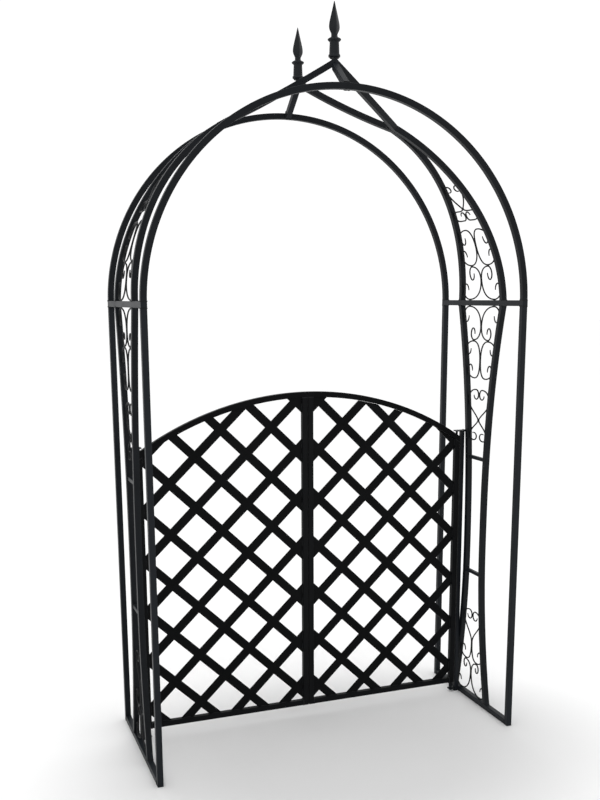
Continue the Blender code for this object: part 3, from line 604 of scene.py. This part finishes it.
def curl(centre, radii, begin, turn):
    """A spiral that tightens to TIP of its first radii."""
    points = []
    for step in range(CURL_STEPS + 1):
        share = step / CURL_STEPS
        angle = math.radians(begin + turn * share)
        left = 1 - (1 - TIP) * share
        points.append((centre[0] + radii[0] * left * math.cos(angle),
                       centre[1] + radii[1] * left * math.sin(angle)))
    return points


def hook(centre, radii, begin, turn):
    """A quarter turn at full size, then a curl of smaller width."""
    quarter = math.copysign(QUARTER_TURN, turn)
    across = HOOK * radii[1]
    inner = (centre[0] + radii[0] - across, centre[1])
    points = []
    for step in range(HOOK_STEPS):
        angle = math.radians(begin + quarter * step / HOOK_STEPS)
        points.append((centre[0] + radii[0] * math.cos(angle),
                       centre[1] + radii[1] * math.sin(angle)))
    return points + curl(inner, (across, radii[1]), begin + quarter, turn - quarter)


def run(first, first_way, second, second_way, pull):
    """The points between two ends of a smooth curve with set directions there."""
    length = math.dist(first, second) * pull
    points = []
    for step in range(1, RUN_STEPS):
        t = step / RUN_STEPS
        from_first = 2 * t ** 3 - 3 * t ** 2 + 1
        out_of_first = length * (t ** 3 - 2 * t ** 2 + t)
        into_second = length * (t ** 3 - t ** 2)
        points.append(tuple(from_first * first[k] + (1 - from_first) * second[k]
                            + out_of_first * first_way[k] + into_second * second_way[k]
                            for k in (0, 1)))
    return points


def gap_from(start, way):
    """The panel's half gap at a run w from a start, measured up or down."""
    return lambda w: panel_gap(start + way * w)


def c_scroll(start, way, height, touch, first_curl, last_curl):
    """A C of rod that touches its mirror image and curls in at both ends."""
    gap = gap_from(start, way)
    touching = (MIDDLE, -height * touch)
    ends = []
    for level, up, (tall, place_u, reach, turn) in ((0.0, 1, first_curl),
                                                    (-height, -1, last_curl)):
        radius_w = tall * gap(level)
        centre = (place_u * gap(level), level - up * (RIM + radius_w))
        radius_u = (gap(centre[1]) - RIM - RIM_CLEAR) * reach - centre[0]
        points = run(touching, (0, up), (centre[0], level - up * RIM), OUTWARD, FULL)
        points += hook(centre, (radius_u, radius_w), QUARTER_TURN * up, -turn * up)
        ends.append(points)
    points = ends[0][::-1] + [touching] + ends[1]
    return [(u, start + way * w) for u, w in points]


def lobe(gap, share, depth):
    """The curled top of a heart, out to where the rod touches the side bar."""
    size = share * gap(-depth)
    centre = (size + MIDDLE, -RIM - size)
    side_point = (gap(-depth) - RIM - RIM_CLEAR, -depth)
    points = curl(centre, (size, size), QUARTER_TURN, LOBE_TURN)[::-1]
    points += run((centre[0], -RIM), OUTWARD, side_point, DOWN, FULL)
    points.append(side_point)
    return points


def heart(start, way, height, shape, slant):
    """A rod that crosses its mirror image below the lobes and ends in a curl."""
    gap = gap_from(start, way)
    share, depth, cross, tail_tall, tail_wide = shape
    points = lobe(gap, share, depth)
    crossing = (0.0, -height * cross)
    across = (-math.cos(math.radians(slant)), -math.sin(math.radians(slant)))
    points += run(points[-1], DOWN, crossing, across, EVEN)
    points.append(crossing)
    radii = (tail_wide * gap(-height), tail_tall * gap(-height))
    centre_w = RIM + radii[1] - height
    side_u = -(gap(centre_w) - RIM - RIM_CLEAR)
    points += run(crossing, across, (side_u, centre_w), DOWN, EVEN)
    points += curl((side_u + radii[0], centre_w), radii, 2 * QUARTER_TURN, TAIL_TURN)
    return [(u, start + way * w) for u, w in points]


def long_scroll(start, way, height, shape):
    """A lobe above, a touch on the middle line and a hook below."""
    gap = gap_from(start, way)
    share, depth, touch, tail_tall = shape
    points = lobe(gap, share, depth)
    touching = (MIDDLE, -height * touch)
    points += run(points[-1], DOWN, touching, DOWN, GENTLE)
    points.append(touching)
    radius_w = tail_tall * gap(-height)
    centre = (JOIN * gap(-height), RIM + radius_w - height)
    radius_u = gap(centre[1]) - RIM - RIM_CLEAR - centre[0]
    points += run(touching, DOWN, (centre[0], RIM - height), OUTWARD, FULL)
    points += hook(centre, (radius_u, radius_w), -QUARTER_TURN, LOBE_TURN)
    return [(u, start + way * w) for u, w in points]


def scroll_welds(side, points, hand):
    """Weld lumps where a rod touches its mirror image, a bar or a rail."""
    last = None
    for u, v in points:
        spot = None
        if abs(abs(u) - (panel_gap(v) - RIM - RIM_CLEAR)) < SIDE_NEAR:
            spot = (math.copysign(panel_gap(v), u), v)
        elif abs(u - MIDDLE) < MIDDLE_NEAR:
            spot = (0.0, v)
        if spot and (last is None or math.dist(spot, last) > SCROLL_TACK_APART):
            at, normal = panel_point(side, hand * spot[0], v)
            ahead = panel_point(side, hand * spot[0], v + SCROLL_TACK_STEP)[0]
            tack("frame", at, ahead - at, normal, SCROLL_TACK)
            last = spot


def scroll_group(name, side, shapes, feet):
    """One welded group of rods and their mirror images, with tacks at its feet."""
    bm = bmesh.new()
    for points in shapes:
        for hand in (-1, 1):
            places = []
            for u, v in points:
                limit = panel_gap(v) - RIM - RIM_CLEAR
                places.append(panel_point(side, hand * max(-limit, min(limit, u)), v))
            stations = along([p for p, n in places], [n for p, n in places])
            count = len(stations)
            scales = [1 - TAPER * max(0.0, 1 - min(k, count - 1 - k) / TAPER_STEPS) ** 2
                      for k in range(count)]
            sweep(bm, stations, circle(ROD / 2), scales=scales)
            scroll_welds(side, points, hand)
    for u, v in feet:
        for hand in (-1, 1):
            at, normal = panel_point(side, hand * u, v)
            tack("frame", at, AWAY, normal, SCROLL_FOOT_TACK)
    finish_piece(name + "_rods", bm, ROD_PAINT, "frame", (name,), sharp=ROD_SHARP)


under = -(HALF_TUBE + GAP)
above = HALF_TUBE + GAP
floor_level = TUBE + GAP - SPRING_Z
base_join = floor_level + BASE_PAIR - WELD
for side_name, side in SIDES:
    scroll_group(f"{side_name}_crown_scrolls", side, [
        c_scroll(under, 1, TOP_PAIR, TOP_TOUCH, BIG_CURL, SMALL_CURL),
        c_scroll(under - TOP_PAIR + WELD, 1, NEXT_PAIR, NEXT_TOUCH, UPPER_CURL, LOWER_CURL)],
        [(CURL_FOOT * panel_gap(under), under),
         (JOIN * panel_gap(-TOP_PAIR), under - TOP_PAIR)])
    scroll_group(f"{side_name}_heart_scroll", side, [
        heart(-HEART_DROP, 1, HEART, SIDE_HEART, HEART_SLANT)],
        [(0.0, -HEART_DROP - HEART * SIDE_HEART[2])])
    scroll_group(f"{side_name}_base_scrolls", side, [
        c_scroll(floor_level, -1, BASE_PAIR, BASE_TOUCH, BIG_CURL, SMALL_CURL),
        long_scroll(base_join + BASE_SCROLL, 1, BASE_SCROLL, LONG_PAIR)],
        [(CURL_FOOT * panel_gap(floor_level), floor_level),
         (JOIN * panel_gap(base_join), base_join)])
    scroll_group(f"{side_name}_arch_scrolls", side, [
        c_scroll(above, -1, ARCH_PAIR, TOP_TOUCH, BIG_CURL, SMALL_CURL),
        c_scroll(above + ARCH_PAIR - WELD, -1, ARCH_NEXT, NEXT_TOUCH, UPPER_CURL, LOWER_CURL)],
        [(CURL_FOOT * panel_gap(above), above),
         (JOIN * panel_gap(ARCH_PAIR), above + ARCH_PAIR)])
    scroll_group(f"{side_name}_arch_heart", side, [
        heart(ARCH_HEART_RISE, -1, ARCH_HEART, ARCHED_HEART, ARCHED_SLANT)],
        [(0.0, ARCH_HEART_RISE + ARCH_HEART * ARCHED_HEART[2])])


# ================================================================ gate leaves
post_x = RADIUS - HALF_TUBE - GAP - HINGE_POST / 2
post_face = post_x - HINGE_POST / 2
half_gate = post_face - GATE_SIDE_CLEAR
half_frame = GATE_TUBE / 2
drop = GATE_CROWN - GATE_SHOULDER
crown_radius = (half_gate ** 2 + drop ** 2) / (2 * drop)
crown_centre = GATE_CROWN - crown_radius
seam_x = GATE_SEAM / 2
rail_low = GATE_BOTTOM + GATE_TUBE
inner_radius = crown_radius - GATE_TUBE
near = seam_x + GATE_TUBE + GAP        # the lattice's edges beside the two stiles
far = half_gate - GATE_TUBE - GAP
SOFT_EDGE, SOFT_STEPS, SOFT_ANGLE = 0.0006, 2, 40
TACK_BARS = range(-14, 22)        # lattice bars that may meet a leaf's frame


def arc_z(x, radius):
    """Height of an arc of the gate's top, about the centre that all its arcs share."""
    return crown_centre + math.sqrt(radius ** 2 - x ** 2)


def stile(name, body, side, outer_x, inner_x):
    """An upright of a leaf, cut to the slope of the top rail above it."""
    middle = (outer_x + inner_x) / 2
    one = arc_z(outer_x, inner_radius)
    two = arc_z(inner_x, inner_radius)
    slant = Vector((side * (one - two), 0, inner_x - outer_x)).normalized()
    top = (one + two) / 2 - GAP / abs(slant.z)
    tube(name, straight((side * middle, GATE_Y, GATE_BOTTOM), (side * middle, GATE_Y, top),
                        ACROSS), body, outline=GATE_SQUARE, material=GATE_SHADED_PAINT, end=slant)
    tilt = Vector((slant.z, 0, -slant.x))
    bead(body, (side * middle, GATE_Y, top), tilt, AWAY, half_frame, half_frame)


def lattice(name, body, side):
    """The crossing flat bars, with softened edges."""
    outline = [(near, rail_low + GAP), (far, rail_low + GAP)]
    for step in range(2 * RAIL_STEPS + 1):
        x = far + (near - far) * step / (2 * RAIL_STEPS)
        outline.append((x, arc_z(x, inner_radius) - 2 * GAP))
    bm = bmesh.new()
    front = [bm.verts.new((side * x, GATE_Y - LATTICE_THICK / 2, z)) for x, z in outline]
    grown = bmesh.ops.extrude_face_region(bm, geom=[bm.faces.new(front)])
    back = [item for item in grown["geom"] if isinstance(item, bmesh.types.BMVert)]
    bmesh.ops.translate(bm, verts=back, vec=(0, LATTICE_THICK, 0))
    plate = finish_piece(f"{name}_bars", bm, GATE_SHADED_PAINT, body, (name,))
    plate.modifiers.clear()
    spacing = 2 * LATTICE_HALF_X * LATTICE_HALF_Z / math.hypot(LATTICE_HALF_X, LATTICE_HALF_Z)
    left = 1 - LATTICE_BAR / spacing
    wide = LATTICE_HALF_X * left
    tall = LATTICE_HALF_Z * left
    bm = bmesh.new()
    for column in range(-1, math.ceil(half_gate / LATTICE_HALF_X) + 1):
        for row in range(-1, math.ceil((GATE_CROWN - GATE_BOTTOM) / LATTICE_HALF_Z) + 1):
            if (column + row) % 2 == 0:
                continue
            x = seam_x + LATTICE_FIRST_X + column * LATTICE_HALF_X
            z = GATE_BOTTOM + LATTICE_FIRST_Z + row * LATTICE_HALF_Z
            rings = [[bm.verts.new((side * px, y, pz)) for px, pz in
                      ((x - wide, z), (x, z - tall), (x + wide, z), (x, z + tall))]
                     for y in (GATE_Y - LATTICE_THICK, GATE_Y + LATTICE_THICK)]
            bm.faces.new(rings[0])
            bm.faces.new(rings[1])
            for corner in range(4):
                after = (corner + 1) % 4
                bm.faces.new((rings[0][corner], rings[0][after], rings[1][after],
                              rings[1][corner]))
    bmesh.ops.recalc_face_normals(bm, faces=bm.faces[:])
    mesh = bpy.data.meshes.new("lattice_holes")
    bm.to_mesh(mesh)
    bm.free()
    holes = bpy.data.objects.new("lattice_holes", mesh)
    bpy.context.scene.collection.objects.link(holes)
    cut = plate.modifiers.new("diamonds", "BOOLEAN")
    cut.operation = "DIFFERENCE"
    cut.object = holes
    cut.solver = "EXACT"
    soft = plate.modifiers.new("soft_edges", "BEVEL")
    soft.width = SOFT_EDGE
    soft.segments = SOFT_STEPS
    soft.limit_method = "ANGLE"
    soft.angle_limit = math.radians(SOFT_ANGLE)
    bpy.context.view_layer.update()
    depsgraph = bpy.context.evaluated_depsgraph_get()
    baked = bpy.data.meshes.new_from_object(plate.evaluated_get(depsgraph))
    plate.modifiers.clear()
    plate.data = baked
    bpy.data.objects.remove(holes)
    baked.shade_smooth()
    baked.set_sharp_from_angle(angle=math.radians(TUBE_SHARP))
    flat = plate.modifiers.new("even_flats", "WEIGHTED_NORMAL")
    flat.keep_sharp = True


def lattice_tack(body, side, x, z, way):
    """A tack on the front and the back of a lattice bar's end."""
    for face in (-1, 1):
        tack(body, (side * x, GATE_Y + face * LATTICE_THICK / 2, z), way, (0, face, 0),
             LATTICE_TACK)


def lattice_tacks(body, side):
    """Tack welds where the bars run into the stiles and the bottom rail."""
    rise = LATTICE_HALF_Z / LATTICE_HALF_X
    first_z = GATE_BOTTOM + LATTICE_FIRST_Z
    for way in (-1, 1):
        for number in TACK_BARS:
            first_x = seam_x + LATTICE_FIRST_X + number * 2 * LATTICE_HALF_X
            for edge_x in (near, far):
                z = first_z + way * (edge_x - first_x) * rise
                top_z = arc_z(edge_x, inner_radius)
                if rail_low + LATTICE_TACK_ENDS < z < top_z - LATTICE_TACK_ENDS:
                    lattice_tack(body, side, edge_x, z, UP)
            x = first_x + way * (rail_low - first_z) / rise
            if near + LATTICE_TACK_ENDS < x < far - LATTICE_TACK_ENDS:
                lattice_tack(body, side, x, rail_low, ACROSS)


for side_name, side in SIDES:
    body = f"{side_name}_gate"
    stile(f"{body}_hinge_stile", body, side, half_gate, half_gate - GATE_TUBE)
    stile(f"{body}_meeting_stile", body, side, seam_x + GATE_TUBE, seam_x)
    rail_z = GATE_BOTTOM + half_frame
    ends = (side * near, side * far)
    tube(f"{body}_bottom_rail", straight((ends[0], GATE_Y, rail_z), (ends[1], GATE_Y, rail_z),
                                         UP), body, outline=GATE_SQUARE, material=GATE_SHADED_PAINT)
    for end in ends:
        bead(body, (end, GATE_Y, rail_z), AWAY, UP, half_frame, half_frame)
    points = []
    normals = []
    for step in range(RAIL_STEPS + 1):
        at = seam_x + (half_gate - seam_x) * step / RAIL_STEPS
        spot = Vector((side * at, 0, math.sqrt((crown_radius - half_frame) ** 2 - at ** 2)))
        points.append(Vector((spot.x, GATE_Y, crown_centre + spot.z)))
        normals.append(spot.normalized())
    tube(f"{body}_top_rail", along(points, normals), body, outline=GATE_SQUARE,
         material=GATE_SHADED_PAINT, start=ACROSS, end=ACROSS)
    lattice(f"{body}_lattice", body, side)
    lattice_tacks(body, side)
    for place in ("foot_bush", "head_bush"):
        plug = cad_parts[f"{body}_{place}"]
        plug.data.materials.clear()
        plug.data.materials.append(ZINC)
    for place in ("foot_pivot", "head_pivot"):
        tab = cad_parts[f"{side_name}_{place}"]
        tab.data.materials.clear()
        tab.data.materials.append(TUBE_PAINT)
        low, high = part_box(tab.name)
        at_foot = place == "foot_pivot"
        edge = side * (post_face if at_foot else RADIUS - HALF_TUBE)
        for step in TAB_TACKS:
            tack("frame", (edge, (low.y + high.y) / 2 + step * TAB_TACK_PITCH,
                           low.z if at_foot else high.z), AWAY, UP, TAB_TACK)
    # the post, welded to the foot rail, to the bowed bar beside it and to the head tab
    post_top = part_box(f"{side_name}_head_pivot")[1].z - TAB_THICK - GAP
    tube(f"{side_name}_hinge_post", straight((side * post_x, GATE_Y, 0),
                                             (side * post_x, GATE_Y, post_top), ACROSS),
         outline=POST_SQUARE)
    bead("frame", (side * post_x, GATE_Y, post_top), ACROSS, AWAY, HINGE_POST / 2,
         HINGE_POST / 2)
    for face in (-1, 1):
        for heights, size in ((POST_FOOT_TACK_Z, POST_FOOT_TACK), (POST_TACK_Z, POST_TACK)):
            for z in heights:
                tack("frame", (side * (RADIUS - HALF_TUBE), GATE_Y + face * HINGE_POST / 2, z),
                     UP, (-side, face, 0), size)

for body, bm in welds.items():
    finish_piece(f"{body}_welds", bm, WELD_PAINT, body, sharp=WELD_SHARP)


# ================================================================ camera, floor, light
EYE = Vector((-1.1979, -3.1263, 1.4895))
YAW, PITCH, ROLL = 0.3679, 0.1971, -0.0017
FOCAL, CENTRE_X, CENTRE_Y = 997.99, 318.13, 497.38     # in a frame 600 wide and 800 tall
FRAME_WIDE, FRAME_TALL = 600, 800
SENSOR = 36.0
FAR_CLIP = 200.0
FLOOR_HALF, FLOOR_Z = 60.0, -0.0005
WORLD_STRENGTH = 1.06
SHADE_AT = (0.0, 0.33, 0.0)        # painted soft shadow on the floor round the arch
SHADE_SIZE = (0.80, 1.05, 1.0)

forward = Vector((math.sin(YAW) * math.cos(PITCH), math.cos(YAW) * math.cos(PITCH),
                  -math.sin(PITCH)))
right = Vector((math.cos(YAW), -math.sin(YAW), 0))
top = right.cross(forward)
right, top = (right * math.cos(ROLL) + top * math.sin(ROLL),
              top * math.cos(ROLL) - right * math.sin(ROLL))
lens = bpy.data.cameras.new("camera")
lens.sensor_fit = "VERTICAL"
lens.sensor_height = SENSOR
lens.lens = FOCAL / FRAME_TALL * SENSOR
lens.shift_x = (FRAME_WIDE / 2 - CENTRE_X) / FRAME_TALL
lens.shift_y = (CENTRE_Y - FRAME_TALL / 2) / FRAME_TALL
lens.clip_end = FAR_CLIP
camera = bpy.data.objects.new("camera", lens)
bpy.context.scene.collection.objects.link(camera)
turn = camera.matrix_world.to_3x3()
turn.col[0], turn.col[1], turn.col[2] = right, top, -forward
camera.matrix_world = turn.to_4x4()
camera.location = EYE
bpy.context.scene.camera = camera


def stage_plane(name, half, material):
    """A flat square that belongs to the stage, not to the object."""
    bm = bmesh.new()
    corners = [bm.verts.new((x * half, y * half, FLOOR_Z)) for x, y in
               ((-1, -1), (1, -1), (1, 1), (-1, 1))]
    bm.faces.new(corners)
    mesh = bpy.data.meshes.new(name)
    bm.to_mesh(mesh)
    bm.free()
    mesh.materials.append(material)
    plane = bpy.data.objects.new(name, mesh)
    bpy.context.scene.collection.objects.link(plane)


floor_paint = bpy.data.materials.new("pale_floor_painted_shadow")
floor_paint.use_nodes = True
shader = floor_paint.node_tree.nodes["Principled BSDF"]
shader.inputs["Roughness"].default_value = 0.8
shader.inputs["Specular IOR Level"].default_value = 0.15
tree = floor_paint.node_tree
floor_place = node(tree, "ShaderNodeTexCoord")
floor_spot = node(tree, "ShaderNodeMapping")
floor_spot.inputs["Location"].default_value = SHADE_AT
floor_spot.inputs["Scale"].default_value = SHADE_SIZE
# the floor colour is painted darker round the arch: a painted shadow, not cast by the lights
floor_shadow_fade = node(tree, "ShaderNodeTexGradient", gradient_type="SPHERICAL")
painted_floor_shadow = node(tree, "ShaderNodeValToRGB")
painted_floor_shadow.color_ramp.interpolation = "EASE"
painted_floor_shadow.color_ramp.elements[0].color = (0.97, 0.97, 0.97, 1)
painted_floor_shadow.color_ramp.elements[1].position = 0.75
painted_floor_shadow.color_ramp.elements[1].color = (0.66, 0.66, 0.66, 1)
tree.links.new(floor_place.outputs["Object"], floor_spot.inputs["Vector"])
tree.links.new(floor_spot.outputs["Vector"], floor_shadow_fade.inputs["Vector"])
tree.links.new(floor_shadow_fade.outputs["Fac"], painted_floor_shadow.inputs["Fac"])
tree.links.new(painted_floor_shadow.outputs["Color"], shader.inputs["Base Color"])
stage_plane("floor", FLOOR_HALF, floor_paint)

world = bpy.data.worlds.new("studio")
world.use_nodes = True
world.node_tree.nodes["Background"].inputs["Color"].default_value = (1.0, 1.0, 1.0, 1)
world.node_tree.nodes["Background"].inputs["Strength"].default_value = WORLD_STRENGTH
bpy.context.scene.world = world


def panel_light(name, at, aim, size, power):
    """A soft rectangular light at one point, turned towards another."""
    lamp = bpy.data.lights.new(name, "AREA")
    lamp.shape = "RECTANGLE"
    lamp.size, lamp.size_y = size
    lamp.energy = power
    holder = bpy.data.objects.new(name, lamp)
    holder.location = at
    holder.rotation_euler = (Vector(aim) - Vector(at)).to_track_quat("-Z", "Y").to_euler()
    bpy.context.scene.collection.objects.link(holder)


panel_light("key_light", (-2.6, -3.4, 4.2), (0, 0, 1.2), (2.4, 1.8), 7.0)
panel_light("top_light", (0.3, 0.2, 5.2), (0, 0, 1.0), (3.2, 3.2), 26.0)
bpy.context.scene.view_settings.view_transform = "Standard"
